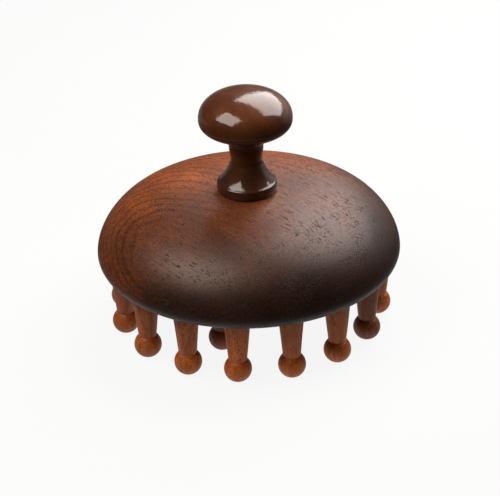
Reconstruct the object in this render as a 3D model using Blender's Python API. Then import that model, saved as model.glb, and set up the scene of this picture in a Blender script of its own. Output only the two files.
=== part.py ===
"""Turned wooden massage comb: a domed round body, a small drawer-pull knob and two rings of pegs.

Metres, +Z up. The origin is on the surface the comb stands on, under the middle of the body.
The peg tips stand on that surface, and one peg of the outer ring is on the -Y side.
"""
from math import acos, cos, pi, radians, sin, sqrt, tau

import bmesh
import bpy
from mathutils import Matrix, Vector

# Driving dimensions
GAP = 0.0003                    # clearance left between pieces that meet

BODY_RADIUS = 0.0450
BODY_WIDEST_Z = 0.0228
BODY_TOP_Z = 0.0410
BODY_EDGE_ROUND = 0.0034        # rounding between the widest line and the flat underside
DOME_FULLNESS = 3.74            # how far out the dome stays nearly flat
DOME_DROP = 0.594               # how the dome turns down into the rim

KNOB_HEIGHT = 0.0308
HEAD_RADIUS = 0.0136
HEAD_WIDEST = 0.0226            # above the knob's bottom, as are all the knob's heights
HEAD_LOWER = 0.0053             # depth of the head's underside below its widest line
HEAD_ROUNDNESS = 2.15
UNDERSIDE_ROUNDNESS = 2.5
UNDERSIDE_JOIN = 1.0            # where the neck meets the head's underside, as an oval angle
FOOT_RADIUS = 0.0089
FOOT_BULGE = 0.0002             # how far the side band's curve is pulled outwards
FOOT_BOTTOM_RADIUS = 0.0086
FOOT_SIDE = 0.0022              # height of the foot's side band
RIM_INSET = 0.0001              # the side band's top, inside the foot's radius
BEAD_INSET = 0.0006             # the top of the bead above the side band, inside the foot's radius
BEAD_RISE = 0.0007
BEAD_PULL = 0.0005              # how far above the side band the bead keeps upright
FOOT_COVE_PULL = (0.0062, 0.0050)   # the hollow between bead and ridge bends towards this point
RIDGE_RADIUS = 0.0050
RIDGE_HEIGHT = 0.0082
RIDGE_PULL = 0.0004
NECK_RADIUS = 0.00464
NECK_NARROWEST = 0.0100
NECK_FLARE = 0.0002
NECK_PULL = 0.0014
COVE_RADIUS = NECK_RADIUS + 0.00034
COVE_START = 0.0128
COVE_PULL = 0.0008

PEG_BALL_RADIUS = 0.0040
PEG_TIP_FLAT_RADIUS = 0.0010
PEG_NECK_RADIUS = 0.00262
PEG_SHOULDER_RADIUS = 0.00375
TENON_RADIUS = 0.0024
TENON_LENGTH = 0.0080
TENON_CHAMFER = 0.0005
OUTER_PEGS = 16
OUTER_RING_RADIUS = 0.0387
INNER_PEGS = 3
INNER_RING_RADIUS = 0.0239
INNER_RING_TURN = radians(-15)  # from the outer ring's front peg
INNER_TIP_Z = 0.0004            # the inner pegs stop a little short of the outer ones

SCREW_RADIUS = 0.0020
SCREW_LENGTH = 0.0250
SCREW_HEAD_RADIUS = 0.0040
SCREW_HEAD_HEIGHT = 0.0028
SCREW_TIP_CHAMFER = 0.0006
RECESS_SPAN = 0.0044
RECESS_WIDTH = 0.0010
RECESS_DEPTH = 0.0015
WASHER_RADIUS = 0.0045
WASHER_THICKNESS = 0.0008
COUNTERBORE_RADIUS = 0.0051
COUNTERBORE_DEPTH = 0.0062
INSERT_RADIUS = 0.0030
INSERT_LENGTH = 0.0090
INSERT_GROOVE_DEPTH = 0.0003

BODY_SEGMENTS = 64
KNOB_SEGMENTS = 40
PEG_SEGMENTS = 16
FIXING_SEGMENTS = 24
DOME_STEPS = 11
SMOOTH_ANGLE = radians(35)
WELD = 1e-6                     # points nearer than this are one point
BEYOND = 0.002                  # how far a cutter reaches past the surface it opens

# Worked out from the driving dimensions
UNDERSIDE_Z = BODY_WIDEST_Z - BODY_EDGE_ROUND
DOME_HEIGHT = BODY_TOP_Z - BODY_WIDEST_Z
KNOB_BOTTOM_Z = BODY_TOP_Z + GAP
PEG_BALL_Z = sqrt(PEG_BALL_RADIUS**2 - PEG_TIP_FLAT_RADIUS**2)
SHOULDER_Z = UNDERSIDE_Z - GAP
TENON_HOLE_RADIUS = TENON_RADIUS + GAP
TENON_HOLE_DEPTH = TENON_LENGTH + GAP
SCREW_HOLE_RADIUS = SCREW_RADIUS + GAP
WASHER_TOP_Z = UNDERSIDE_Z + COUNTERBORE_DEPTH - GAP
SCREW_SEAT_Z = WASHER_TOP_Z - WASHER_THICKNESS - GAP
INSERT_BOTTOM_Z = KNOB_BOTTOM_Z + GAP
INSERT_BORE_RADIUS = INSERT_RADIUS + GAP
INSERT_BORE_DEPTH = INSERT_LENGTH + 2 * GAP


def clear_scene():
    for thing in list(bpy.data.objects):
        bpy.data.objects.remove(thing, do_unlink=True)


def material(name, color, roughness, metallic=0.0):
    made = bpy.data.materials.new(name)
    made.use_nodes = True
    shader = made.node_tree.nodes["Principled BSDF"]
    shader.inputs["Base Color"].default_value = (*color, 1.0)
    shader.inputs["Roughness"].default_value = roughness
    shader.inputs["Metallic"].default_value = metallic
    return made


# Outline pieces: each gives (radius, height) points of a turned profile

def arc(center, radius, start, end, steps):
    """Points on a circle from angle start to angle end, in radians from the +radius direction."""
    turn = (end - start) / steps
    return [(center[0] + radius * cos(start + turn * i), center[1] + radius * sin(start + turn * i))
            for i in range(steps + 1)]


def curve(start, pull, end, steps):
    """A smooth bend from start to end that leaves and arrives along the lines to pull."""
    points = []
    for i in range(steps + 1):
        t = i / steps
        weights = ((1 - t) ** 2, 2 * t * (1 - t), t * t)
        points.append(tuple(sum(w * p[k] for w, p in zip(weights, (start, pull, end))) for k in (0, 1)))
    return points


def oval(radius, widest, reach, roundness, start, end, steps):
    """A quarter of a full-bodied oval: reach is its height above (or below, if negative) widest."""
    power = 2 / roundness
    points = []
    for i in range(steps + 1):
        a = start + (end - start) * i / steps
        points.append((radius * max(cos(a), 0.0) ** power, widest + reach * sin(a) ** power))
    return points


def turned(name, outline, segments, finish):
    """A solid of revolution about +Z from an outline that starts and ends on the axis or closes on itself."""
    mesh = bpy.data.meshes.new(name)
    bm = bmesh.new()
    verts = [bm.verts.new((radius, 0.0, height)) for radius, height in outline]
    edges = [bm.edges.new(pair) for pair in zip(verts, verts[1:])]
    if outline[0][0] > WELD:
        edges.append(bm.edges.new((verts[-1], verts[0])))
    bmesh.ops.spin(bm, geom=verts + edges, axis=(0, 0, 1), cent=(0, 0, 0), angle=tau,
                   steps=segments, use_duplicate=False)
    bmesh.ops.remove_doubles(bm, verts=bm.verts, dist=WELD)
    bmesh.ops.recalc_face_normals(bm, faces=bm.faces)
    bm.to_mesh(mesh)
    bm.free()
    mesh.shade_smooth()
    mesh.set_sharp_from_angle(angle=SMOOTH_ANGLE)
    mesh.materials.append(finish)
    return placed(name, mesh)


def placed(name, mesh):
    thing = bpy.data.objects.new(name, mesh)
    bpy.context.scene.collection.objects.link(thing)
    return thing


def plug(bm, radius, bottom, top, segments, at=(0.0, 0.0)):
    """Adds a plain upright cylinder to bm, for cutting a hole."""
    middle = Vector((at[0], at[1], (bottom + top) / 2))
    bmesh.ops.create_cone(bm, cap_ends=True, segments=segments, radius1=radius, radius2=radius,
                          depth=top - bottom, matrix=Matrix.Translation(middle))


def cut(thing, name, bm):
    """Takes the solids in bm away from thing."""
    mesh = bpy.data.meshes.new(name)
    bm.to_mesh(mesh)
    bm.free()
    cutter = placed(name, mesh)
    cutter.hide_render = True
    cutter.display_type = "WIRE"
    boolean = thing.modifiers.new(name, "BOOLEAN")
    boolean.operation = "DIFFERENCE"
    boolean.solver = "EXACT"
    boolean.object = cutter


def ring_places(count, radius, turn=0.0):
    """(x, y) of evenly spaced pegs, the first on the -Y side plus turn."""
    return [(radius * sin(turn + tau * i / count), -radius * cos(turn + tau * i / count))
            for i in range(count)]


OUTER_PLACES = ring_places(OUTER_PEGS, OUTER_RING_RADIUS)
INNER_PLACES = ring_places(INNER_PEGS, INNER_RING_RADIUS, INNER_RING_TURN)


def dome_z(radius):
    """Height of the body's upper surface at a distance from its axis."""
    share = min(radius / BODY_RADIUS, 1.0)
    return BODY_WIDEST_Z + DOME_HEIGHT * (1 - share**DOME_FULLNESS) ** DOME_DROP


def make_body(wood):
    """A thick turned disc with a domed top, blind holes for the pegs and a screw hole with a counterbore."""
    edge_center = (BODY_RADIUS - BODY_EDGE_ROUND, BODY_WIDEST_Z)
    outline = [(0.0, UNDERSIDE_Z)]
    outline += arc(edge_center, BODY_EDGE_ROUND, -pi / 2, 0, 5)
    for i in range(1, DOME_STEPS + 1):
        radius = BODY_RADIUS * (1 - (i / DOME_STEPS) ** 2)
        outline.append((radius, dome_z(radius)))
    body = turned("body", outline, BODY_SEGMENTS, wood)

    holes = bmesh.new()
    below = UNDERSIDE_Z - BEYOND
    tenon_end = UNDERSIDE_Z + TENON_HOLE_DEPTH
    for place in OUTER_PLACES + INNER_PLACES:
        plug(holes, TENON_HOLE_RADIUS, below, tenon_end, PEG_SEGMENTS, place)
    cut(body, "peg_holes_cutter", holes)

    counterbore = bmesh.new()
    step = UNDERSIDE_Z + COUNTERBORE_DEPTH
    plug(counterbore, COUNTERBORE_RADIUS, below, step, FIXING_SEGMENTS)
    cut(body, "counterbore_cutter", counterbore)

    through = bmesh.new()
    plug(through, SCREW_HOLE_RADIUS, step - BEYOND / 2, BODY_TOP_Z + BEYOND, FIXING_SEGMENTS)
    cut(body, "screw_hole_cutter", through)
    return body


def knob_outline():
    """The knob's outer profile from the middle of its bottom to the top of its head."""
    rim = (FOOT_RADIUS - RIM_INSET, FOOT_SIDE)
    bead_top = (FOOT_RADIUS - BEAD_INSET, FOOT_SIDE + BEAD_RISE)
    ridge = (RIDGE_RADIUS, RIDGE_HEIGHT)
    neck = (NECK_RADIUS, NECK_NARROWEST)
    cove = (COVE_RADIUS, COVE_START)
    head_underside = oval(HEAD_RADIUS, HEAD_WIDEST, -HEAD_LOWER, UNDERSIDE_ROUNDNESS, UNDERSIDE_JOIN, 0.0, 6)
    join = head_underside[0]

    outline = [(0.0, 0.0)]
    outline += curve((FOOT_BOTTOM_RADIUS, 0.0), (FOOT_RADIUS + FOOT_BULGE, FOOT_SIDE / 2), rim, 3)
    outline += curve(rim, (rim[0], rim[1] + BEAD_PULL), bead_top, 2)[1:]
    outline += curve(bead_top, FOOT_COVE_PULL, ridge, 4)[1:]
    outline += curve(ridge, (NECK_RADIUS, RIDGE_HEIGHT + RIDGE_PULL), neck, 2)[1:]
    outline += curve(neck, (NECK_RADIUS + NECK_FLARE, NECK_NARROWEST + NECK_PULL), cove, 2)[1:]
    outline += curve(cove, (COVE_RADIUS, join[1] - COVE_PULL), join, 4)[1:-1]
    outline += head_underside
    outline += oval(HEAD_RADIUS, HEAD_WIDEST, KNOB_HEIGHT - HEAD_WIDEST, HEAD_ROUNDNESS, 0.0, pi / 2, 8)[1:]
    return outline


def make_knob(lacquer):
    """A turned drawer-pull knob with a blind bore in its foot for the threaded insert."""
    knob = turned("knob", knob_outline(), KNOB_SEGMENTS, lacquer)
    knob.location.z = KNOB_BOTTOM_Z
    bore = bmesh.new()
    plug(bore, INSERT_BORE_RADIUS, KNOB_BOTTOM_Z - BEYOND, KNOB_BOTTOM_Z + INSERT_BORE_DEPTH, FIXING_SEGMENTS)
    cut(knob, "insert_bore_cutter", bore)
    return knob


def make_insert(brass):
    """A tube with a tapped bore, pressed into the knob's foot, with a shallow groove round its middle."""
    top = INSERT_LENGTH
    groove = INSERT_RADIUS - INSERT_GROOVE_DEPTH
    outline = [(SCREW_HOLE_RADIUS, 0.0), (INSERT_RADIUS, 0.0)]
    outline += [(INSERT_RADIUS, top * 0.40), (groove, top * 0.45)]
    outline += [(groove, top * 0.55), (INSERT_RADIUS, top * 0.60)]
    outline += [(INSERT_RADIUS, top), (SCREW_HOLE_RADIUS, top)]
    insert = turned("threaded_insert", outline, FIXING_SEGMENTS, brass)
    insert.location.z = INSERT_BOTTOM_Z
    return insert


def make_screw(steel):
    """A pan-head machine screw, head down, with a cross recess in its head."""
    flat = (SCREW_HEAD_RADIUS * 0.55, -SCREW_HEAD_HEIGHT)
    side = (SCREW_HEAD_RADIUS, -SCREW_HEAD_HEIGHT * 0.3)
    outline = [(0.0, -SCREW_HEAD_HEIGHT)]
    outline += curve(flat, (SCREW_HEAD_RADIUS, -SCREW_HEAD_HEIGHT), side, 4)
    outline += [(SCREW_HEAD_RADIUS, 0.0), (SCREW_RADIUS, 0.0)]
    outline += [(SCREW_RADIUS, SCREW_LENGTH - SCREW_TIP_CHAMFER)]
    outline += [(SCREW_RADIUS - SCREW_TIP_CHAMFER, SCREW_LENGTH), (0.0, SCREW_LENGTH)]
    screw = turned("knob_screw", outline, FIXING_SEGMENTS, steel)
    screw.location.z = SCREW_SEAT_Z

    low = SCREW_SEAT_Z - SCREW_HEAD_HEIGHT - BEYOND
    high = SCREW_SEAT_Z - SCREW_HEAD_HEIGHT + RECESS_DEPTH
    slots = {"recess_cutter_x": (RECESS_SPAN, RECESS_WIDTH), "recess_cutter_y": (RECESS_WIDTH, RECESS_SPAN)}
    for name, size in slots.items():
        slot = bmesh.new()
        shape = Matrix.Translation((0, 0, (low + high) / 2)) @ Matrix.Diagonal((*size, high - low, 1))
        bmesh.ops.create_cube(slot, size=1.0, matrix=shape)
        cut(screw, name, slot)
    return screw


def make_washer(steel):
    """A plain flat washer between the screw's head and the wood."""
    inner, outer, top = SCREW_HOLE_RADIUS, WASHER_RADIUS, WASHER_THICKNESS
    outline = [(inner, 0.0), (outer, 0.0), (outer, top), (inner, top)]
    washer = turned("screw_washer", outline, FIXING_SEGMENTS, steel)
    washer.location.z = WASHER_TOP_Z - WASHER_THICKNESS
    return washer


def peg_outline(tip_z):
    """A peg from its tip up: ball end with a small flat, tapered shaft, shoulder and tenon."""
    flat_angle = -acos(PEG_TIP_FLAT_RADIUS / PEG_BALL_RADIUS)
    neck_angle = acos(PEG_NECK_RADIUS / PEG_BALL_RADIUS)
    tenon_top = SHOULDER_Z + TENON_LENGTH
    outline = [(0.0, tip_z)]
    outline += arc((0.0, tip_z + PEG_BALL_Z), PEG_BALL_RADIUS, flat_angle, neck_angle, 6)
    outline += [(PEG_SHOULDER_RADIUS, SHOULDER_Z), (TENON_RADIUS, SHOULDER_Z)]
    outline += [(TENON_RADIUS, tenon_top - TENON_CHAMFER), (TENON_RADIUS - TENON_CHAMFER, tenon_top)]
    outline += [(0.0, tenon_top)]
    return outline


def make_ring(name, digits, places, tip_z, wood):
    """The pegs of one ring are the same turning, each glued into its own hole in the underside."""
    pattern = None
    for number, place in enumerate(places, start=1):
        node = f"{name}_{number:0{digits}d}"
        if pattern is None:
            peg = turned(node, peg_outline(tip_z), PEG_SEGMENTS, wood)
            pattern = peg.data
        else:
            peg = placed(node, pattern)
        peg.location = (*place, 0.0)


def main():
    clear_scene()
    body_wood = material("body_wood", (0.150, 0.052, 0.026), 0.45)
    knob_lacquer = material("knob_lacquer", (0.045, 0.015, 0.008), 0.15)
    peg_wood = material("peg_wood", (0.260, 0.095, 0.036), 0.50)
    brass = material("brass", (0.780, 0.570, 0.240), 0.30, 1.0)
    steel = material("zinc_steel", (0.620, 0.620, 0.600), 0.35, 1.0)
    make_body(body_wood)
    make_knob(knob_lacquer)
    make_insert(brass)
    make_washer(steel)
    make_screw(steel)
    make_ring("outer_peg", 2, OUTER_PLACES, 0.0, peg_wood)
    make_ring("inner_peg", 1, INNER_PLACES, INNER_TIP_Z, peg_wood)


main()
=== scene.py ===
"""The looks of the turned wooden massage comb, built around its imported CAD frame.

Metres, +Z up, in the CAD's own frame: the pegs stand on z = 0 and the body's axis is the Z axis.
The wooden pieces, the washer and the screw are made again with finer outlines, and the threaded
insert keeps its CAD mesh. Every visible piece gets a procedural material.
"""

import random
from math import acos, cos, pi, radians, sin, sqrt, tau

import bmesh
import bpy
from mathutils import Matrix, Quaternion, Vector


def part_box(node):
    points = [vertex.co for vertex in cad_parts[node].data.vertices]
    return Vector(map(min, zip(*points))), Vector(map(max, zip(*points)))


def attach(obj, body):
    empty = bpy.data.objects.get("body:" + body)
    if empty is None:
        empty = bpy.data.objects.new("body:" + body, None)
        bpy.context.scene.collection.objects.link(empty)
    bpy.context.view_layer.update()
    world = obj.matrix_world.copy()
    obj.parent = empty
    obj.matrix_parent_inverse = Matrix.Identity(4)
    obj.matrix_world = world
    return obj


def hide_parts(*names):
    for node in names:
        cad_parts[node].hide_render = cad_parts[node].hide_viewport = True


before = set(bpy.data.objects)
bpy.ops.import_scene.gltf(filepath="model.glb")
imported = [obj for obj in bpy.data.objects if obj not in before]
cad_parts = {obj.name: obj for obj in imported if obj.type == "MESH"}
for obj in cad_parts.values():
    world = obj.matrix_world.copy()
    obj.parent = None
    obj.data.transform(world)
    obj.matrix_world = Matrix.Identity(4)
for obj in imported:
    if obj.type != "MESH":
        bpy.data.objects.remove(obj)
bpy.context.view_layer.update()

SEED = 11
TOUCH = 0.00002                 # gap left between visible pieces that meet
SMOOTH_ANGLE = radians(32)

# The body's turned outline
BODY_EDGE_ROUND = 0.0034        # rounding between the widest line and the flat underside
DOME_FULLNESS = 3.74            # how far out the dome stays nearly flat
DOME_DROP = 0.594               # how the dome turns down into the rim
EDGE_RING = 0.0004              # how far inside the rounding the underside has a ring of points
BODY_SEGMENTS = 256
DOME_STEPS = 96

# The knob's turned outline, with heights above the knob's bottom
HEAD_WIDEST = 0.0226
HEAD_LOWER = 0.0053
HEAD_ROUNDNESS = 2.15
UNDERSIDE_ROUNDNESS = 2.5
FOOT_RADIUS = 0.0089
FOOT_BOTTOM_RADIUS = 0.0086
FOOT_SIDE = 0.0022
NECK_RADIUS = 0.00464
NECK_NARROWEST = 0.0100
RIDGE_RADIUS = 0.0050
RIDGE_HEIGHT = 0.0082
COVE_START = 0.0128
COVE_PULL = (0.0062, 0.0050)    # the hollow between bead and ridge bends towards this point
FOOT_EASE = 0.0003              # the small bevel round the foot's bottom
FOOT_BULGE = 0.0002             # how far the side band's curve is pulled outwards
RIM_INSET = 0.0001              # the side band's top, inside the foot's radius
BEAD_INSET = 0.0006             # the top of the bead above the side band, inside the foot's radius
BEAD_RISE = 0.0007
BEAD_PULL = 0.0005              # how far above the side band the bead keeps upright
RIDGE_PULL = 0.0004
NECK_FLARE = 0.0002
NECK_PULL = 0.0014
COVE_RADIUS = NECK_RADIUS + 0.00034
COVE_RISE = 0.0008
UNDERSIDE_JOIN = 1.0            # where the cove meets the head's underside, as an oval angle
KNOB_SEGMENTS = 192

# The pegs' turned outline
PEG_BALL_RADIUS = 0.0040
PEG_TIP_FLAT_RADIUS = 0.0010
PEG_NECK_RADIUS = 0.00262
PEG_SHOULDER_RADIUS = 0.00375
PEG_CREASE = 0.00012            # depth of the tool mark where the shaft meets the ball
PEG_TIP_EASE = 0.6              # where the tip's flat has a ring of points, as a share of its radius
CREASE_PULL = 0.00002           # where the fillet out of the crease bends, beside it and above it
CREASE_RISE = 0.00028
LIP_RISE = 0.00055              # the height from the crease to the start of the shaft
SHAFT_STEPS = 16
PEG_LEAN = radians(0.45)        # the most that a peg leans, about X and about Y
NECK_VARIES = 0.035             # how far one peg differs from the next, as a share of its radius
SHOULDER_VARIES = 0.02
BELLY = 0.00008                 # the most that a shaft swells or thins half way
PEG_SEGMENTS = 56
TENON_RADIUS = 0.0024
TENON_LENGTH = 0.0080
TENON_CHAMFER = 0.0005
HOLE_CLEARANCE = 0.0003
SHOULDER_ROOM = 0.00004         # keeps a leaning peg's shoulder clear of the underside

# The fixing under the knob
COUNTERBORE_RADIUS = 0.0051
COUNTERBORE_DEPTH = 0.0062
SCREW_RADIUS = 0.0020
SCREW_HEAD_RADIUS = 0.0040
SCREW_HEAD_HEIGHT = 0.0028
THREAD_PITCH = 0.0007
THREAD_DEPTH = 0.00043
RECESS_SPAN = 0.0044
RECESS_WIDTH = 0.0010
RECESS_DEPTH = 0.0015
INSERT_BORE_RADIUS = 0.0033
INSERT_BORE_DEPTH = 0.0096
COUNTERBORE_MOUTH = 0.0004      # the bevel at the counterbore's mouth
WASHER_EASE = 0.00012
SCREW_TIP_CHAMFER = 0.0006
SCREW_HEAD_EASE = 0.0001
PAN_SIDE = 0.7                  # where the head's side starts to round: a share of its height, from its face
PAN_FLAT = 0.55                 # the flat part of the pan head, as a share of its radius
RECESS_TAPER = 0.8              # the recess's size at its bottom, as a share of its size at the face
THREAD_ROWS = 8                 # rows of points in each turn of the thread
HOLE_SEGMENTS = 32
BEYOND = 0.002                  # how far cutters reach past the surface that they open
FIXING_SEGMENTS = 96

# The camera and the lights, by azimuth from -Y towards +X and elevation, in degrees
CAMERA_AZIMUTH = 5.6
CAMERA_ELEVATION = 29.51
CAMERA_ROLL = -1.528
CAMERA_DISTANCE = 0.488
CAMERA_LENS = 117.5
SENSOR_WIDTH = 36.0
AIM_HEIGHT = 0.02095
AIM_RIGHT = 0.00034
LIGHT_AIM_HEIGHT = 0.05
LOOKING = (-0.098, 0.995, 0.0)  # the level direction that the camera faces

# The floor and the studio
FLOOR_RADIUS = 4.0
FLOOR_TINTS = ((0.060, 0.060, 0.060), (0.066, 0.066, 0.065))
FLOOR_GLOW = 0.90               # as the camera sees it
FLOOR_WARMTH = (1.0, 0.98, 0.96, 1.0)
STUDIO_GLOW = 0.97              # as the camera sees it
PALE_SIDE = (132.0, 6.0)        # azimuth from the camera's, and elevation
# Each of these is where a change starts and ends, and the strength before and after it
FLOOR_BEHIND = (40.0, 200.0, 0.03, 0.20)
FLOOR_NEAR = (48.0, 100.0, 0.66, 0.03)
STUDIO_BEHIND = (-0.2, 0.9, 0.02, 0.06)
STUDIO_PALE = (0.78, 1.0, 0.0, 0.50)
WHITE = (1.0, 1.0, 1.0, 1.0)

# The patterns in the materials: lengths in millimetres, and the parts of a noise's range that are used
RIPPLE_SIZE = (26.0, 8.0, 8.0)
PORE_CROWD_SIZE = (16.0, 7.0, 7.0)
STREAK_RANGE = (0.38, 0.68)
HAIR_RANGE = (0.40, 0.70)
CLOUD_RANGE = (0.32, 0.68)
GRAIN_RANGE = (0.36, 0.64)
LINE_WARMTH = (0.15, 0.75)      # growth lines strengthen over this range of warmth
PALE_REACH = (16.0, 50.0)       # the tone falls off over these distances from the pale middle
FLECK_SHARE = 0.6               # how much a fleck counts beside a pore
TOOL_LINES = 9.0                # tool lines on turned metal, in each millimetre of radius
SCRATCH_SIZE = (0.15, 2.2, 0.8)
SCRATCH_DEPTH = 0.004
LINE_DEPTH = 0.008
METAL_ROUGHNESS = (0.22, 0.42)


# ---------------------------------------------------------------- outlines

def arc(center, radius, start, end, steps):
    """Points on a circle from angle start to angle end, in radians from the +radius direction."""
    turn = (end - start) / steps
    return [(center[0] + radius * cos(start + turn * i), center[1] + radius * sin(start + turn * i))
            for i in range(steps + 1)]


def curve(start, pull, end, steps):
    """A smooth bend from start to end that leaves and arrives along the lines to pull."""
    points = []
    for i in range(steps + 1):
        t = i / steps
        weights = ((1 - t) ** 2, 2 * t * (1 - t), t * t)
        points.append(tuple(sum(w * p[k] for w, p in zip(weights, (start, pull, end))) for k in (0, 1)))
    return points


def oval(radius, widest, reach, roundness, start, end, steps):
    """A quarter of a full-bodied oval: reach is its height above (or below, if negative) widest."""
    power = 2 / roundness
    points = []
    for i in range(steps + 1):
        a = start + (end - start) * i / steps
        points.append((radius * max(cos(a), 0.0) ** power, widest + reach * sin(a) ** power))
    return points


# ---------------------------------------------------------------- meshes

def placed(name, mesh, nodes=()):
    """Links a mesh as a piece that rides on the body; it stands for the CAD nodes named."""
    thing = bpy.data.objects.new(name, mesh)
    bpy.context.scene.collection.objects.link(thing)
    if nodes:
        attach(thing, "root")
        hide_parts(*nodes)
    return thing


def turned_mesh(name, outline, segments, place=(0.0, 0.0), lean=(0.0, 0.0)):
    """A solid of revolution about +Z at place; lean tips it, in radians about X and Y, from its top."""
    mesh = bpy.data.meshes.new(name)
    bm = bmesh.new()
    verts = [bm.verts.new((radius, 0.0, height)) for radius, height in outline]
    edges = [bm.edges.new(pair) for pair in zip(verts, verts[1:])]
    if outline[0][0] > 1e-9:
        edges.append(bm.edges.new((verts[-1], verts[0])))
    bmesh.ops.spin(bm, geom=verts + edges, axis=(0, 0, 1), cent=(0, 0, 0), angle=tau,
                   steps=segments, use_duplicate=False)
    bmesh.ops.remove_doubles(bm, verts=bm.verts, dist=1e-7)
    bmesh.ops.recalc_face_normals(bm, faces=bm.faces)
    pivot = Matrix.Translation((0, 0, outline[-1][1]))
    tip = Matrix.Rotation(lean[0], 4, "X") @ Matrix.Rotation(lean[1], 4, "Y")
    bm.transform(Matrix.Translation((*place, 0)) @ pivot @ tip @ pivot.inverted())
    bm.to_mesh(mesh)
    bm.free()
    return mesh


def smoothed(mesh, finish):
    """Smooth shading with sharp edges where the turning has corners, and one material."""
    mesh.shade_smooth()
    mesh.set_sharp_from_angle(angle=SMOOTH_ANGLE)
    mesh.materials.clear()
    mesh.materials.append(finish)
    return mesh


def cut_mesh(mesh, cutters):
    """The mesh with the cutter meshes taken away from it, one after the other."""
    thing = placed("cut_work", mesh)
    helpers = []
    for number, cutter in enumerate(cutters):
        helper = placed(f"cutter_{number}", cutter)
        helpers.append(helper)
        boolean = thing.modifiers.new(f"cut_{number}", "BOOLEAN")
        boolean.operation = "DIFFERENCE"
        boolean.solver = "EXACT"
        boolean.object = helper
    depsgraph = bpy.context.evaluated_depsgraph_get()
    made = bpy.data.meshes.new_from_object(thing.evaluated_get(depsgraph))
    for helper in helpers + [thing]:
        bpy.data.objects.remove(helper, do_unlink=True)
    return made


def plugs_mesh(places, radius, bottom, top, segments):
    """Plain upright cylinders, one at each place, for cutting holes."""
    bm = bmesh.new()
    for x, y in places:
        middle = Matrix.Translation((x, y, (bottom + top) / 2))
        bmesh.ops.create_cone(bm, cap_ends=True, segments=segments, radius1=radius, radius2=radius,
                              depth=top - bottom, matrix=middle)
    mesh = bpy.data.meshes.new("plugs")
    bm.to_mesh(mesh)
    bm.free()
    return mesh


# ---------------------------------------------------------------- where the CAD is

body_low, body_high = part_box("body")
knob_low, knob_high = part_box("knob")
screw_low, screw_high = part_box("knob_screw")
washer_low, washer_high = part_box("screw_washer")
BODY_RADIUS = body_high.x
BODY_TOP_Z = body_high.z
UNDERSIDE_Z = body_low.z
BODY_WIDEST_Z = UNDERSIDE_Z + BODY_EDGE_ROUND
PEG_NODES = sorted(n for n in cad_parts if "_peg_" in n)


def peg_place(node):
    """(x, y) of a peg's axis and the height of its tip."""
    low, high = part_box(node)
    return ((low.x + high.x) / 2, (low.y + high.y) / 2), low.z


# ---------------------------------------------------------------- shader helpers

def add(tree, kind, inputs=None, **settings):
    """Adds a shader node; an input is a socket to link from or a plain value."""
    made = tree.nodes.new(kind)
    for key, value in settings.items():
        setattr(made, key, value)
    for key, value in (inputs or {}).items():
        if isinstance(value, bpy.types.NodeSocket):
            tree.links.new(value, made.inputs[key])
        else:
            made.inputs[key].default_value = value
    return made


def calc(tree, operation, *values, clamp=False):
    """A Math node's result."""
    made = add(tree, "ShaderNodeMath", dict(enumerate(values)), operation=operation, use_clamp=clamp)
    return made.outputs[0]


def vector_calc(tree, operation, *values, result="Vector"):
    """A Vector Math node's result."""
    return add(tree, "ShaderNodeVectorMath", dict(enumerate(values)), operation=operation).outputs[result]


def blend(tree, factor, a, b, mode="MIX"):
    """Two colours mixed."""
    made = add(tree, "ShaderNodeMix", data_type="RGBA", blend_type=mode)
    for index, value in ((0, factor), (6, a), (7, b)):
        if isinstance(value, bpy.types.NodeSocket):
            tree.links.new(value, made.inputs[index])
        else:
            made.inputs[index].default_value = value if index == 0 else (*value, 1.0)
    return made.outputs[2]


def span(tree, value, low, high, to_low=0.0, to_high=1.0, smooth=True):
    """value taken from low..high to to_low..to_high, smoothly and clamped."""
    kind = "SMOOTHSTEP" if smooth else "LINEAR"
    inputs = {"Value": value, "From Min": low, "From Max": high, "To Min": to_low, "To Max": to_high}
    return add(tree, "ShaderNodeMapRange", inputs, interpolation_type=kind).outputs["Result"]


def noise(tree, where, scale, detail=2.0, roughness=0.5):
    """Noise at where."""
    inputs = {"Vector": where, "Scale": scale, "Detail": detail, "Roughness": roughness}
    return add(tree, "ShaderNodeTexNoise", inputs).outputs["Fac"]


def line_noise(tree, along, scale, detail):
    """Noise along one line."""
    inputs = {"W": along, "Scale": scale, "Detail": detail}
    return add(tree, "ShaderNodeTexNoise", inputs, noise_dimensions="1D").outputs["Fac"]


def shaded(tree, color, tone):
    """The colour, lighter or darker by the factor tone."""
    grey = add(tree, "ShaderNodeCombineColor", {0: tone, 1: tone, 2: tone}).outputs[0]
    return blend(tree, 1.0, color, grey, "MULTIPLY")


def relief(tree, height, strength=1.0):
    """The surface direction for a height in millimetres."""
    inputs = {"Height": height, "Distance": 0.001, "Strength": strength}
    return add(tree, "ShaderNodeBump", inputs).outputs["Normal"]


def stretched(tree, where, sizes):
    """where divided by sizes, so that one unit of noise is that many millimetres long each way."""
    return vector_calc(tree, "DIVIDE", where, sizes)


def new_material(name):
    """An empty node material: (material, tree, Principled shader)."""
    made = bpy.data.materials.new(name)
    made.use_nodes = True
    tree = made.node_tree
    return made, tree, tree.nodes["Principled BSDF"]


def millimetres(tree, turn=(0.0, 0.0, 0.0)):
    """Where a point is on the object, in millimetres, turned so that the wood's fibres run along X."""
    place = add(tree, "ShaderNodeTexCoord").outputs["Object"]
    scaled = vector_calc(tree, "MULTIPLY", place, (1000.0, 1000.0, 1000.0))
    return add(tree, "ShaderNodeVectorRotate", {"Vector": scaled, "Rotation": turn},
               rotation_type="EULER_XYZ", invert=True).outputs["Vector"]


# ---------------------------------------------------------------- wood

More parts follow.
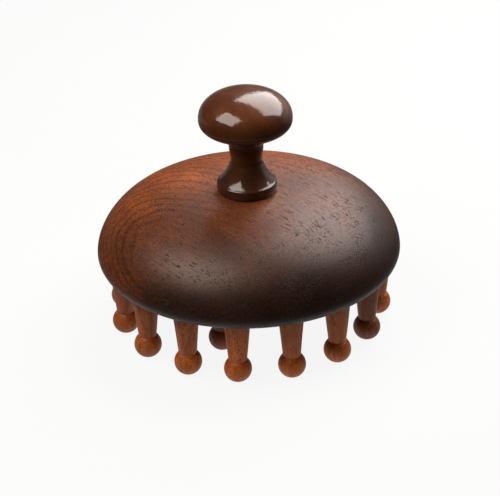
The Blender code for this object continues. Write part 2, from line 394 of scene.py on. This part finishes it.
def growth(tree, fibre, look):
    """The distance from the pith, in rings: layers round a line that runs along the fibres."""
    wander = noise(tree, stretched(tree, fibre, look["wander_size"]), 1.0, 2.0)
    ripple = noise(tree, stretched(tree, fibre, RIPPLE_SIZE), 1.0, 1.0)
    off_pith = vector_calc(tree, "SUBTRACT", fibre, (0.0, *look["pith"]))
    across = vector_calc(tree, "MULTIPLY", off_pith, (0.0, 1.0, 1.0))
    radius = vector_calc(tree, "LENGTH", across, result="Value")
    radius = calc(tree, "MULTIPLY_ADD", wander, look["wander"], radius)
    radius = calc(tree, "MULTIPLY_ADD", ripple, look["ripple"], radius)
    return calc(tree, "DIVIDE", radius, look["ring_width"])


def late_line(tree, rings):
    """The dark line of late wood at the end of each ring, stronger in some years than in others."""
    ring = calc(tree, "FRACT", rings)
    rise = span(tree, ring, 0.45, 0.88)
    fall = span(tree, ring, 0.90, 1.0, 1.0, 0.0)
    strong = span(tree, line_noise(tree, rings, 0.45, 1.0), 0.35, 0.65, 0.25, 1.0)
    return calc(tree, "MULTIPLY", calc(tree, "MULTIPLY", rise, fall), strong)


def pores(tree, fibre, sizes, share, open_size):
    """1 inside the open pores: short grooves along the fibres, in some of the cells only."""
    inputs = {"Vector": stretched(tree, fibre, sizes), "Scale": 1.0, "Randomness": 1.0}
    cells = add(tree, "ShaderNodeTexVoronoi", inputs, feature="F1")
    chance = add(tree, "ShaderNodeSeparateColor", {"Color": cells.outputs["Color"]}).outputs[0]
    crowd = noise(tree, stretched(tree, fibre, PORE_CROWD_SIZE), 1.0, 1.0)
    wanted = calc(tree, "MULTIPLY", span(tree, crowd, 0.30, 0.70), share)
    chosen = calc(tree, "LESS_THAN", chance, wanted)
    groove = span(tree, cells.outputs["Distance"], open_size * 0.55, open_size, 1.0, 0.0)
    return calc(tree, "MULTIPLY", groove, chosen)


def graded(tree, place, wander, look, key):
    """0 to 1 along one direction through the wood, with an uneven edge."""
    along = vector_calc(tree, "DOT_PRODUCT", place, look[key + "_way"], result="Value")
    along = calc(tree, "MULTIPLY_ADD", calc(tree, "SUBTRACT", wander, 0.5), look[key + "_wander"], along)
    return span(tree, along, look[key + "_from"], look[key + "_to"])


def wood_patterns(tree, look):
    """The patterns that the wood's colour, roughness and relief share, by name."""
    fibre = millimetres(tree, look["turn"])
    place = millimetres(tree)
    groove = pores(tree, fibre, look["pore_size"], look["pore_share"], look["pore_open"])
    fleck = pores(tree, fibre, look["fleck_size"], look["fleck_share"], look["pore_open"])
    return {
        "place": place,
        "line": late_line(tree, growth(tree, fibre, look)),
        "streak": noise(tree, stretched(tree, fibre, look["streak_size"]), 1.0, 4.0, 0.62),
        "hair": noise(tree, stretched(tree, fibre, look["hair_size"]), 1.0, 3.0, 0.6),
        "cloud": noise(tree, stretched(tree, fibre, look["cloud_size"]), 1.0, 3.0),
        "grain": noise(tree, place, 1.0 / look["speck"], 2.0, 0.6),
        "pit": calc(tree, "MAXIMUM", groove, calc(tree, "MULTIPLY", fleck, FLECK_SHARE)),
    }


def early_and_late(tree, parts, warmth_and_peg_shade, look):
    """The colours of the early and the late wood, with any painted shade on the body's lower rim."""
    early = blend(tree, warmth_and_peg_shade, look["cool"], look["warm"])
    late = blend(tree, warmth_and_peg_shade, look["cool_dark"], look["warm_dark"])
    # Painted shade: below a tilted line the wood turns darker, fading out towards the far left.
    if "painted_rim_shade_way" in look:
        painted_rim_shade = graded(tree, parts["place"], parts["streak"], look, "painted_rim_shade")
        end = graded(tree, parts["place"], parts["streak"], look, "end")
        painted_rim_shade = calc(tree, "MAXIMUM", painted_rim_shade, end)
        early = blend(tree, painted_rim_shade, look["painted_rim_shade"], early)
        late = blend(tree, painted_rim_shade, look["painted_rim_shade_dark"], late)
    return early, late


def wood_tone(tree, parts, look):
    """How light the wood is: broad clouds, a paler middle and fine speckle."""
    lift = span(tree, parts["cloud"], *CLOUD_RANGE, look["cloud_low"], look["cloud_high"])
    reach = vector_calc(tree, "DISTANCE", parts["place"], look["pale_middle"], result="Value")
    lift = calc(tree, "MULTIPLY", lift, span(tree, reach, *PALE_REACH, 1.0, look["far_tone"]))
    less, more = 1.0 - look["speck_tone"], 1.0 + look["speck_tone"]
    return calc(tree, "MULTIPLY", lift, span(tree, parts["grain"], *GRAIN_RANGE, less, more, smooth=False))


def wood_color(tree, parts, look):
    """Early and late wood, streaks, tone and dark pores."""
    # For the pegs this blend is painted shade, darker towards the left; for the body it is the wood's own
    # warmth.
    warmth_and_peg_shade = graded(tree, parts["place"], parts["cloud"], look, "warm")
    early, late = early_and_late(tree, parts, warmth_and_peg_shade, look)
    strength = span(tree, warmth_and_peg_shade, *LINE_WARMTH, look["line_low"], look["line_strength"])
    shade = calc(tree, "MULTIPLY", parts["line"], strength)
    streak = span(tree, parts["streak"], *STREAK_RANGE)
    shade = calc(tree, "MULTIPLY_ADD", streak, look["streak_strength"], shade)
    hair = span(tree, parts["hair"], *HAIR_RANGE)
    shade = calc(tree, "MULTIPLY_ADD", hair, look["hair_strength"], shade, clamp=True)
    color = shaded(tree, blend(tree, shade, early, late), wood_tone(tree, parts, look))
    dark = calc(tree, "MULTIPLY", parts["pit"], look["pore_dark"])
    return blend(tree, dark, color, look["pore_color"])


def wood_roughness(tree, parts, look):
    """Satin, a little duller in the pores and in some areas."""
    rough = span(tree, parts["hair"], 0.3, 0.7, look["rough_low"], look["rough_high"], smooth=False)
    rough = calc(tree, "MULTIPLY_ADD", parts["pit"], look["rough_pit"], rough)
    cloud = calc(tree, "SUBTRACT", parts["cloud"], 0.5)
    return calc(tree, "MULTIPLY_ADD", cloud, look["rough_cloud"], rough)


def wood_height(tree, parts, look):
    """The fine relief in millimetres: sunken pores, raised fibres and speckle."""
    height = calc(tree, "MULTIPLY", parts["pit"], -look["pore_depth"])
    height = calc(tree, "MULTIPLY_ADD", parts["hair"], look["hair_depth"], height)
    return calc(tree, "MULTIPLY_ADD", parts["grain"], look["speck_depth"], height)


def wood(name, look):
    """Turned wood: growth lines, fibre streaks, open pores, and a hand-rubbed satin surface."""
    made, tree, shader = new_material(name)
    parts = wood_patterns(tree, look)
    tree.links.new(wood_color(tree, parts, look), shader.inputs["Base Color"])
    tree.links.new(wood_roughness(tree, parts, look), shader.inputs["Roughness"])
    tree.links.new(relief(tree, wood_height(tree, parts, look)), shader.inputs["Normal"])
    shader.inputs["IOR"].default_value = look["ior"]
    return made


BODY_WOOD = {
    "turn": (0.0, radians(7.0), radians(-41.0)),
    "wander_size": (60.0, 26.0, 26.0), "wander": 5.0, "ripple": 1.5,
    "pith": (156.0, -327.0), "ring_width": 1.35,
    "streak_size": (26.0, 0.9, 0.9), "hair_size": (9.0, 0.28, 0.28), "cloud_size": (26.0, 14.0, 14.0),
    "pore_size": (4.4, 0.36, 0.36), "pore_share": 0.58, "pore_open": 0.40,
    "fleck_size": (1.4, 0.30, 0.30), "fleck_share": 0.60, "speck": 0.65, "speck_tone": 0.42,
    "warm_way": (-0.765, 0.628, 0.0), "warm_wander": 24.0, "warm_from": -30.0, "warm_to": 28.0,
    "warm": (0.300, 0.069, 0.0085), "warm_dark": (0.135, 0.0275, 0.0036),
    "cool": (0.096, 0.0246, 0.0060), "cool_dark": (0.048, 0.0114, 0.0030),
    # Painted shade: the body's lower rim, below about 29 to 35 mm and fading out at the far left, takes
    # these darker colours.
    "painted_rim_shade_way": (-0.13, 0.0, 1.0), "painted_rim_shade_wander": 7.0, "painted_rim_shade_from": 29.0, "painted_rim_shade_to": 34.6,
    "end_way": (-1.0, 0.0, 0.0), "end_wander": 14.0, "end_from": 20.0, "end_to": 36.0,
    "painted_rim_shade": (0.048, 0.0125, 0.0038), "painted_rim_shade_dark": (0.028, 0.0068, 0.0023),
    "line_strength": 0.95, "line_low": 0.20, "streak_strength": 0.35, "hair_strength": 0.30,
    "pale_middle": (8.0, 8.0, 36.0), "far_tone": 0.64,
    "cloud_low": 0.78, "cloud_high": 1.24, "pore_dark": 0.80, "pore_color": (0.008, 0.0026, 0.0014),
    "rough_low": 0.42, "rough_high": 0.49, "rough_cloud": 0.08, "rough_pit": 0.45,
    "pore_depth": 0.034, "hair_depth": 0.020, "speck_depth": 0.010, "ior": 1.47,
}

PEG_WOOD = {
    "turn": (0.0, radians(-90.0), 0.0),
    "wander_size": (60.0, 9.0, 9.0), "wander": 4.0, "ripple": 0.8,
    "pith": (70.0, 30.0), "ring_width": 1.7,
    "streak_size": (16.0, 0.7, 0.7), "hair_size": (6.0, 0.22, 0.22), "cloud_size": (30.0, 11.0, 11.0),
    "pore_size": (2.0, 0.34, 0.34), "pore_share": 0.45, "pore_open": 0.40,
    "fleck_size": (0.9, 0.28, 0.28), "fleck_share": 0.35, "speck": 0.4, "speck_tone": 0.20,
    # Painted shade: the pegs' colour darkens towards -X, the left, evening out the light of the left
    # softbox.
    "warm_way": (1.0, 0.0, 0.0), "warm_wander": 30.0, "warm_from": -40.0, "warm_to": 10.0,
    "warm": (0.580, 0.136, 0.0120), "warm_dark": (0.330, 0.064, 0.0060),
    "cool": (0.410, 0.094, 0.0090), "cool_dark": (0.225, 0.044, 0.0045),
    "line_strength": 0.45, "line_low": 0.45, "streak_strength": 0.45, "hair_strength": 0.35,
    "pale_middle": (0.0, 0.0, 0.0), "far_tone": 1.0,
    "cloud_low": 0.85, "cloud_high": 1.15, "pore_dark": 0.75, "pore_color": (0.060, 0.016, 0.004),
    "rough_low": 0.46, "rough_high": 0.58, "rough_cloud": 0.08, "rough_pit": 0.30,
    "pore_depth": 0.030, "hair_depth": 0.022, "speck_depth": 0.012, "ior": 1.46,
}

# Darker peg wood: on outer_peg_04 and inner_peg_1 it is painted shade, on outer_peg_09 and outer_peg_12
# darker wood.
SHADED_AND_DARK_PEG_WOOD = dict(
    PEG_WOOD,
    pith=(55.0, -38.0),
    warm=(0.235, 0.052, 0.0060), warm_dark=(0.130, 0.026, 0.0035),
    cool=(0.185, 0.042, 0.0050), cool_dark=(0.100, 0.020, 0.0030),
)
SHADED_AND_DARK_PEGS = ("inner_peg_1", "outer_peg_04", "outer_peg_09", "outer_peg_12")

LACQUER = {
    "turn": (0.0, radians(-90.0), 0.0),
    "streak_size": (14.0, 0.9, 0.9), "streak_range": (0.36, 0.68),
    "cloud_size": (18.0, 7.0, 7.0), "cloud_range": (0.35, 0.7),
    "pore_size": (2.4, 0.4, 0.4), "pore_share": 0.5, "pore_open": 0.4, "pore_dark": 0.25,
    "stain": (0.076, 0.0190, 0.0040), "stain_dark": (0.058, 0.0138, 0.0030),
    "cloud": (0.110, 0.0300, 0.0060), "pore_color": (0.012, 0.003, 0.001),
    # Painted shade: up to these heights in millimetres the foot and neck are darkened, by half at the foot.
    "painted_shade_heights": (44.0, 54.0), "painted_shade_tone": 0.5,
    "peel_scale": 0.55, "peel_depth": 0.036, "fine_size": (1.4, 0.7, 0.7), "fine_depth": 0.036,
    "under_roughness": 0.5, "under_specular": 0.1, "coat_ior": 1.52, "coat_roughness": 0.07,
}


def lacquer_color(tree, fibre, place, look):
    """Dark stain with streaks, clouds and filled pores, with painted shade darkening the foot and neck under
    the head.
    """
    streak = noise(tree, stretched(tree, fibre, look["streak_size"]), 1.0, 4.0, 0.6)
    cloud = noise(tree, stretched(tree, fibre, look["cloud_size"]), 1.0, 2.0)
    groove = pores(tree, fibre, look["pore_size"], look["pore_share"], look["pore_open"])
    color = blend(tree, span(tree, streak, *look["streak_range"]), look["stain"], look["stain_dark"])
    color = blend(tree, span(tree, cloud, *look["cloud_range"]), color, look["cloud"])
    color = blend(tree, calc(tree, "MULTIPLY", groove, look["pore_dark"]), color, look["pore_color"])
    # Painted shade on the foot and neck, under the head.
    height = add(tree, "ShaderNodeSeparateXYZ", {"Vector": place}).outputs["Z"]
    return shaded(tree, color, span(tree, height, *look["painted_shade_heights"], look["painted_shade_tone"], 1.0))


def lacquered_wood(name, look):
    """Nearly black-brown stained wood under a thick clear lacquer with a slight orange peel."""
    made, tree, shader = new_material(name)
    fibre = millimetres(tree, look["turn"])
    place = millimetres(tree)
    tree.links.new(lacquer_color(tree, fibre, place, look), shader.inputs["Base Color"])
    shader.inputs["Roughness"].default_value = look["under_roughness"]
    shader.inputs["Specular IOR Level"].default_value = look["under_specular"]
    shader.inputs["Coat Weight"].default_value = 1.0
    shader.inputs["Coat IOR"].default_value = look["coat_ior"]
    shader.inputs["Coat Roughness"].default_value = look["coat_roughness"]
    peel = calc(tree, "MULTIPLY", noise(tree, place, look["peel_scale"], 2.0, 0.5), look["peel_depth"])
    fine = noise(tree, stretched(tree, fibre, look["fine_size"]), 1.0, 3.0, 0.6)
    normal = relief(tree, calc(tree, "MULTIPLY_ADD", fine, look["fine_depth"], peel))
    tree.links.new(normal, shader.inputs["Normal"])
    tree.links.new(normal, shader.inputs["Coat Normal"])
    return made


def machined_metal(name, bright, dull, along):
    """Plated or turned metal: fine tool lines round the axis, dull patches and small scratches."""
    made, tree, shader = new_material(name)
    place = millimetres(tree)
    height = add(tree, "ShaderNodeSeparateXYZ", {"Vector": place}).outputs["Z"]
    across = vector_calc(tree, "MULTIPLY", place, (1.0, 1.0, 0.0))
    radius = vector_calc(tree, "LENGTH", across, result="Value")
    rings = calc(tree, "MULTIPLY", radius, TOOL_LINES)
    rings = calc(tree, "ADD", rings, calc(tree, "MULTIPLY", height, along))
    lines = line_noise(tree, rings, 1.0, 3.0)
    patch = noise(tree, place, 0.6, 4.0, 0.65)
    scratch = noise(tree, stretched(tree, place, SCRATCH_SIZE), 1.0, 3.0, 0.7)
    tree.links.new(blend(tree, span(tree, patch, 0.35, 0.70), bright, dull), shader.inputs["Base Color"])
    shader.inputs["Metallic"].default_value = 1.0
    mixed = calc(tree, "MULTIPLY_ADD", scratch, 0.4, calc(tree, "MULTIPLY", patch, 0.6))
    tree.links.new(span(tree, mixed, 0.35, 0.65, *METAL_ROUGHNESS), shader.inputs["Roughness"])
    cut = calc(tree, "MULTIPLY_ADD", scratch, SCRATCH_DEPTH, calc(tree, "MULTIPLY", lines, LINE_DEPTH))
    tree.links.new(relief(tree, cut, 0.8), shader.inputs["Normal"])
    return made


# ---------------------------------------------------------------- the object

def dome_z(radius):
    """Height of the body's upper surface at a distance from its axis."""
    share = min(radius / BODY_RADIUS, 1.0)
    return BODY_WIDEST_Z + (BODY_TOP_Z - BODY_WIDEST_Z) * (1 - share**DOME_FULLNESS) ** DOME_DROP


def make_body(finish):
    """The thick turned disc with its domed top, peg holes, and the screw's counterbored hole."""
    outline = [(0.0, UNDERSIDE_Z), (BODY_RADIUS - BODY_EDGE_ROUND - EDGE_RING, UNDERSIDE_Z)]
    outline += arc((BODY_RADIUS - BODY_EDGE_ROUND, BODY_WIDEST_Z), BODY_EDGE_ROUND, -pi / 2, 0, 18)
    for i in range(1, DOME_STEPS + 1):
        radius = BODY_RADIUS * (1 - (i / DOME_STEPS) ** 2)
        outline.append((radius, dome_z(radius)))
    disc = turned_mesh("body", outline, BODY_SEGMENTS)
    places = [peg_place(n)[0] for n in PEG_NODES]
    start, deep = UNDERSIDE_Z - BEYOND, UNDERSIDE_Z + TENON_LENGTH + HOLE_CLEARANCE
    holes = plugs_mesh(places, TENON_RADIUS + HOLE_CLEARANCE, start, deep, HOLE_SEGMENTS)
    step_z, end, bore = UNDERSIDE_Z + COUNTERBORE_DEPTH, BODY_TOP_Z + BEYOND, SCREW_RADIUS + HOLE_CLEARANCE
    stepped = [(0.0, start), (COUNTERBORE_RADIUS + COUNTERBORE_MOUTH + BEYOND, start)]
    stepped += [(COUNTERBORE_RADIUS, UNDERSIDE_Z + COUNTERBORE_MOUTH), (COUNTERBORE_RADIUS, step_z)]
    stepped += [(bore, step_z), (bore, end), (0.0, end)]
    mesh = cut_mesh(disc, [holes, turned_mesh("stepped", stepped, FIXING_SEGMENTS)])
    mesh.name = "comb_body"
    return placed("comb_body", smoothed(mesh, finish), ("body",))


def knob_outline():
    """The knob's profile from the middle of its bottom to the top of its head."""
    bottom = knob_low.z - body_high.z - TOUCH
    height = knob_high.z - knob_low.z
    head_radius = knob_high.x
    rim = (FOOT_RADIUS - RIM_INSET, FOOT_SIDE)
    bead_top = (FOOT_RADIUS - BEAD_INSET, FOOT_SIDE + BEAD_RISE)
    ridge = (RIDGE_RADIUS, RIDGE_HEIGHT)
    neck = (NECK_RADIUS, NECK_NARROWEST)
    cove = (COVE_RADIUS, COVE_START)
    underside = oval(head_radius, HEAD_WIDEST, -HEAD_LOWER, UNDERSIDE_ROUNDNESS, UNDERSIDE_JOIN, 0.0, 26)
    crown = oval(head_radius, HEAD_WIDEST, height - HEAD_WIDEST, HEAD_ROUNDNESS, 0.0, pi / 2, 40)
    eased = (FOOT_BOTTOM_RADIUS, -bottom + FOOT_EASE)

    outline = [(0.0, -bottom), (FOOT_BOTTOM_RADIUS - FOOT_EASE, -bottom)]
    outline += curve(eased, (FOOT_RADIUS + FOOT_BULGE, FOOT_SIDE / 2), rim, 12)
    outline += curve(rim, (rim[0], rim[1] + BEAD_PULL), bead_top, 8)[1:]
    outline += curve(bead_top, COVE_PULL, ridge, 16)[1:]
    outline += curve(ridge, (NECK_RADIUS, RIDGE_HEIGHT + RIDGE_PULL), neck, 8)[1:]
    outline += curve(neck, (NECK_RADIUS + NECK_FLARE, NECK_NARROWEST + NECK_PULL), cove, 8)[1:]
    outline += curve(cove, (cove[0], underside[0][1] - COVE_RISE), underside[0], 14)[1:-1]
    outline += underside + crown[1:]
    return [(radius, knob_low.z + z) for radius, z in outline]


def make_knob(finish):
    """The turned drawer-pull knob, with a blind bore in its foot for the threaded insert."""
    low, high = knob_low.z - BEYOND, knob_low.z + INSERT_BORE_DEPTH
    bore = plugs_mesh([(0.0, 0.0)], INSERT_BORE_RADIUS, low, high, FIXING_SEGMENTS)
    mesh = cut_mesh(turned_mesh("knob", knob_outline(), KNOB_SEGMENTS), [bore])
    mesh.name = "comb_knob"
    return placed("comb_knob", smoothed(mesh, finish), ("knob",))


def peg_outline(tip_z, vary):
    """A peg from its tip up: ball end with a small flat, a crease, tapered shaft, shoulder and tenon."""
    ball_z = tip_z + sqrt(PEG_BALL_RADIUS**2 - PEG_TIP_FLAT_RADIUS**2)
    neck_radius = PEG_NECK_RADIUS * (1 + NECK_VARIES * vary())
    shoulder_radius = PEG_SHOULDER_RADIUS * (1 + SHOULDER_VARIES * vary())
    belly = BELLY * vary()
    flat_angle = -acos(PEG_TIP_FLAT_RADIUS / PEG_BALL_RADIUS)
    neck_angle = acos((neck_radius - PEG_CREASE) / PEG_BALL_RADIUS)
    shoulder_z = UNDERSIDE_Z - TOUCH - SHOULDER_ROOM
    tenon_top = UNDERSIDE_Z + TENON_LENGTH - HOLE_CLEARANCE
    outline = [(0.0, tip_z), (PEG_TIP_FLAT_RADIUS * PEG_TIP_EASE, tip_z)]
    outline += arc((0.0, ball_z), PEG_BALL_RADIUS, flat_angle, neck_angle, 34)
    crease = outline[-1]
    lip = (neck_radius, crease[1] + LIP_RISE)
    outline += curve(crease, (crease[0] + CREASE_PULL, crease[1] + CREASE_RISE), lip, 6)[1:]
    for i in range(1, SHAFT_STEPS + 1):
        t = i / SHAFT_STEPS
        radius = lip[0] + (shoulder_radius - lip[0]) * t + belly * sin(pi * t)
        outline.append((radius, lip[1] + (shoulder_z - lip[1]) * t))
    outline += [(TENON_RADIUS, shoulder_z), (TENON_RADIUS, tenon_top - TENON_CHAMFER)]
    outline += [(TENON_RADIUS - TENON_CHAMFER, tenon_top), (0.0, tenon_top)]
    return outline


def make_pegs(finish, shaded_and_dark_finish):
    """Every peg is its own turning, a little different from the next, as hand work is."""
    chance = random.Random(SEED)

    def vary():
        return chance.uniform(-1.0, 1.0)

    for node in PEG_NODES:
        place, tip_z = peg_place(node)
        lean = (PEG_LEAN * vary(), PEG_LEAN * vary())
        mesh = turned_mesh("wood_" + node, peg_outline(tip_z, vary), PEG_SEGMENTS, place, lean)
        # Painted shade on outer_peg_04 and inner_peg_1, darker wood on the other pegs listed.
        wood_here = shaded_and_dark_finish if node in SHADED_AND_DARK_PEGS else finish
        placed("wood_" + node, smoothed(mesh, wood_here), (node,))


def make_washer(finish):
    """A stamped flat washer with eased edges."""
    low, high, ease = washer_low.z, washer_high.z, WASHER_EASE
    outer, inner = washer_high.x, SCREW_RADIUS + HOLE_CLEARANCE
    outline = [(inner, low + ease), (inner + ease, low), (outer - ease, low), (outer, low + ease)]
    outline += [(outer, high - ease), (outer - ease, high), (inner + ease, high), (inner, high - ease)]
    mesh = turned_mesh("washer", outline, FIXING_SEGMENTS)
    placed("steel_washer", smoothed(mesh, finish), ("screw_washer",))


def ring_of_points(bm, radii, z):
    """A ring round the axis at height z, one point for each radius."""
    turns = [tau * step / len(radii) for step in range(len(radii))]
    return [bm.verts.new((radius * cos(turn), radius * sin(turn), z)) for radius, turn in zip(radii, turns)]


def skin(bm, lower, upper):
    """Joins two rings of points with a band of faces."""
    for a, b, c, d in zip(lower, lower[1:] + lower[:1], upper[1:] + upper[:1], upper):
        bm.faces.new((a, b, c, d))


def threaded_rod(bm, bottom, top):
    """Adds the screw's threaded length: a tube of rings whose radius follows the thread."""
    rows = int((top - bottom) / THREAD_PITCH * THREAD_ROWS)
    rings = []
    for row in range(rows + 1):
        z = bottom + (top - bottom) * row / rows
        fade = min(1.0, (z - bottom) / THREAD_PITCH, (top - z) / THREAD_PITCH)
        phases = [(z / THREAD_PITCH - step / FIXING_SEGMENTS) % 1.0 for step in range(FIXING_SEGMENTS)]
        radii = [SCREW_RADIUS - THREAD_DEPTH * abs(2 * phase - 1) * fade for phase in phases]
        rings.append(ring_of_points(bm, radii, z))
    for lower, upper in zip(rings, rings[1:]):
        skin(bm, lower, upper)
    return rings[0], rings[-1]


def screw_mesh():
    """The screw without its recess: threaded rod, chamfered tip and pan head, head down."""
    seat, low, top = screw_low.z + SCREW_HEAD_HEIGHT, screw_low.z, screw_high.z
    bm = bmesh.new()

    def ring(radius, z):
        return ring_of_points(bm, [radius] * FIXING_SEGMENTS, z)

    first, last = threaded_rod(bm, seat, top - SCREW_TIP_CHAMFER)
    tip = ring(SCREW_RADIUS - SCREW_TIP_CHAMFER, top)
    skin(bm, last, tip)
    bm.faces.new(tip)
    side = (SCREW_HEAD_RADIUS, low + SCREW_HEAD_HEIGHT * PAN_SIDE)
    head = [(SCREW_HEAD_RADIUS - SCREW_HEAD_EASE, seat), (SCREW_HEAD_RADIUS, seat - SCREW_HEAD_EASE)]
    head += curve(side, (SCREW_HEAD_RADIUS, low), (SCREW_HEAD_RADIUS * PAN_FLAT, low), 12)
    rings = [ring(radius, z) for radius, z in head]
    skin(bm, rings[0], first)
    for upper, lower in zip(rings, rings[1:]):
        skin(bm, lower, upper)
    bm.faces.new(rings[-1])
    bmesh.ops.recalc_face_normals(bm, faces=bm.faces)
    mesh = bpy.data.meshes.new("steel_screw")
    bm.to_mesh(mesh)
    bm.free()
    return mesh


def recess_cutter(span_x, span_y):
    """One tapered arm of the cross recess."""
    low = screw_low.z
    bottom, reach = low - BEYOND / 2, low + RECESS_DEPTH
    size = Matrix.Diagonal((span_x, span_y, reach - bottom, 1))
    bm = bmesh.new()
    bmesh.ops.create_cube(bm, size=1.0, matrix=Matrix.Translation((0, 0, (bottom + reach) / 2)) @ size)
    for v in bm.verts:
        if v.co.z > low:
            v.co.x *= RECESS_TAPER
            v.co.y *= RECESS_TAPER
    mesh = bpy.data.meshes.new("recess")
    bm.to_mesh(mesh)
    bm.free()
    return mesh


def make_screw(finish):
    """A pan-head machine screw, head down, with a cut thread and a cross recess in its head."""
    arms = [recess_cutter(RECESS_SPAN, RECESS_WIDTH), recess_cutter(RECESS_WIDTH, RECESS_SPAN)]
    made = cut_mesh(screw_mesh(), arms)
    made.name = "steel_screw"
    placed("steel_screw", smoothed(made, finish), ("knob_screw",))


# ---------------------------------------------------------------- stage, lights and camera

def direction(azimuth, elevation):
    """Unit vector towards an azimuth and elevation in degrees."""
    a, e = radians(azimuth), radians(elevation)
    return Vector((sin(a) * cos(e), -cos(a) * cos(e), sin(e)))


def softbox(name, azimuth, elevation, distance, width, height, twist, radiance, color):
    """A soft rectangular light aimed at the knob, turned by twist about the way that it shines.

    Its azimuth is counted from the camera's.
    """
    light = bpy.data.lights.new(name, "AREA")
    light.shape = "RECTANGLE"
    light.size = width
    light.size_y = height
    light.energy = radiance * pi * width * height
    light.color = color
    lamp = bpy.data.objects.new(name, light)
    bpy.context.scene.collection.objects.link(lamp)
    toward = direction(CAMERA_AZIMUTH + azimuth, elevation)
    level = Vector((0, 0, 1)).cross(toward).normalized()
    facing = Matrix((level, toward.cross(level), toward)).transposed()
    lamp.rotation_mode = "QUATERNION"
    lamp.rotation_quaternion = facing.to_quaternion() @ Quaternion((0, 0, 1), radians(twist))
    lamp.location = Vector((0, 0, LIGHT_AIM_HEIGHT)) + toward * distance
    lamp.visible_camera = False


def floor_material():
    """Nearly white to the camera. Other rays see it dimmer, so that it throws little light at the wood."""
    made, tree, shader = new_material("floor_pale")
    tree.nodes.remove(shader)
    place = millimetres(tree)
    tint = blend(tree, noise(tree, place, 0.02, 3.0), *FLOOR_TINTS)
    matte = add(tree, "ShaderNodeBsdfDiffuse", {"Color": tint}).outputs[0]
    glow = add(tree, "ShaderNodeEmission", {"Color": WHITE, "Strength": FLOOR_GLOW}).outputs[0]
    seen = add(tree, "ShaderNodeAddShader", {0: matte, 1: glow}).outputs[0]
    away = vector_calc(tree, "DOT_PRODUCT", place, LOOKING, result="Value")
    reach = vector_calc(tree, "LENGTH", place, result="Value")
    bounce = calc(tree, "MAXIMUM", span(tree, away, *FLOOR_BEHIND), span(tree, reach, *FLOOR_NEAR))
    dim = add(tree, "ShaderNodeEmission", {"Color": FLOOR_WARMTH, "Strength": bounce}).outputs[0]
    path = add(tree, "ShaderNodeLightPath").outputs["Is Camera Ray"]
    top = add(tree, "ShaderNodeMixShader", {0: path, 1: dim, 2: seen}).outputs[0]
    below = add(tree, "ShaderNodeNewGeometry").outputs["Backfacing"]
    clear = add(tree, "ShaderNodeBsdfTransparent").outputs[0]
    both = add(tree, "ShaderNodeMixShader", {0: below, 1: top, 2: clear}).outputs[0]
    tree.links.new(both, tree.nodes["Material Output"].inputs["Surface"])
    return made


def make_floor():
    """A plain pale floor, clear from below so that the underside can be seen through it."""
    mesh = bpy.data.meshes.new("floor")
    bm = bmesh.new()
    bmesh.ops.create_circle(bm, cap_ends=True, segments=96, radius=FLOOR_RADIUS)
    bm.to_mesh(mesh)
    bm.free()
    floor = bpy.data.objects.new("floor", mesh)
    bpy.context.scene.collection.objects.link(floor)
    mesh.materials.append(floor_material())


def make_world():
    """A dim studio round the object, a little lighter behind it, that shows as pale as the floor."""
    world = bpy.data.worlds.new("studio")
    bpy.context.scene.world = world
    world.use_nodes = True
    tree = world.node_tree
    background = tree.nodes["Background"]
    way = add(tree, "ShaderNodeTexCoord").outputs["Generated"]
    behind = vector_calc(tree, "DOT_PRODUCT", way, LOOKING, result="Value")
    dim = span(tree, behind, *STUDIO_BEHIND)
    pale_way = direction(CAMERA_AZIMUTH + PALE_SIDE[0], PALE_SIDE[1])
    pale = vector_calc(tree, "DOT_PRODUCT", way, pale_way, result="Value")
    dim = calc(tree, "MAXIMUM", dim, span(tree, pale, *STUDIO_PALE))
    path = add(tree, "ShaderNodeLightPath").outputs["Is Camera Ray"]
    strength = add(tree, "ShaderNodeMix", {0: path, 2: dim, 3: STUDIO_GLOW}, data_type="FLOAT").outputs[0]
    tree.links.new(strength, background.inputs["Strength"])
    background.inputs["Color"].default_value = WHITE


def make_camera():
    """The photograph's viewing angle: a long lens a little above, rolled very slightly."""
    camera = bpy.data.cameras.new("camera")
    camera.lens = CAMERA_LENS
    camera.sensor_width = SENSOR_WIDTH
    camera.clip_start = 0.01
    camera.clip_end = 50.0
    holder = bpy.data.objects.new("camera", camera)
    bpy.context.scene.collection.objects.link(holder)
    back = direction(CAMERA_AZIMUTH, CAMERA_ELEVATION)
    right = Vector((cos(radians(CAMERA_AZIMUTH)), sin(radians(CAMERA_AZIMUTH)), 0.0))
    aim = right * AIM_RIGHT + Vector((0, 0, AIM_HEIGHT))
    holder.location = aim + back * CAMERA_DISTANCE
    holder.rotation_mode = "QUATERNION"
    roll = Quaternion((0, 0, 1), radians(CAMERA_ROLL))
    holder.rotation_quaternion = (-back).to_track_quat("-Z", "Y") @ roll
    bpy.context.scene.camera = holder


def main():
    bpy.context.scene.view_settings.view_transform = "Standard"
    make_floor()
    make_world()
    softbox("window_right", azimuth=139.0, elevation=46.2, distance=0.369, width=0.443, height=0.303,
            twist=-9.0, radiance=6.00, color=(1.0, 0.95, 0.92))
    softbox("window_left", azimuth=-60.8, elevation=53.5, distance=0.235, width=0.185, height=0.149,
            twist=-1.0, radiance=6.10, color=(1.0, 0.92, 0.83))
    make_camera()

    body_wood = wood("dark_turned_wood", BODY_WOOD)
    peg_wood = wood("reddish_peg_wood", PEG_WOOD)
    shaded_and_dark_peg_wood = wood("shaded_and_dark_peg_wood", SHADED_AND_DARK_PEG_WOOD)
    lacquer = lacquered_wood("dark_lacquer", LACQUER)
    steel = machined_metal("zinc_steel", (0.66, 0.66, 0.64), (0.40, 0.40, 0.39), 6.0)
    brass = machined_metal("turned_brass", (0.80, 0.58, 0.25), (0.52, 0.35, 0.13), 14.0)
    make_body(body_wood)
    make_knob(lacquer)
    make_pegs(peg_wood, shaded_and_dark_peg_wood)
    make_washer(steel)
    make_screw(steel)
    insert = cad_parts["threaded_insert"]
    insert.material_slots[0].material = brass


main()
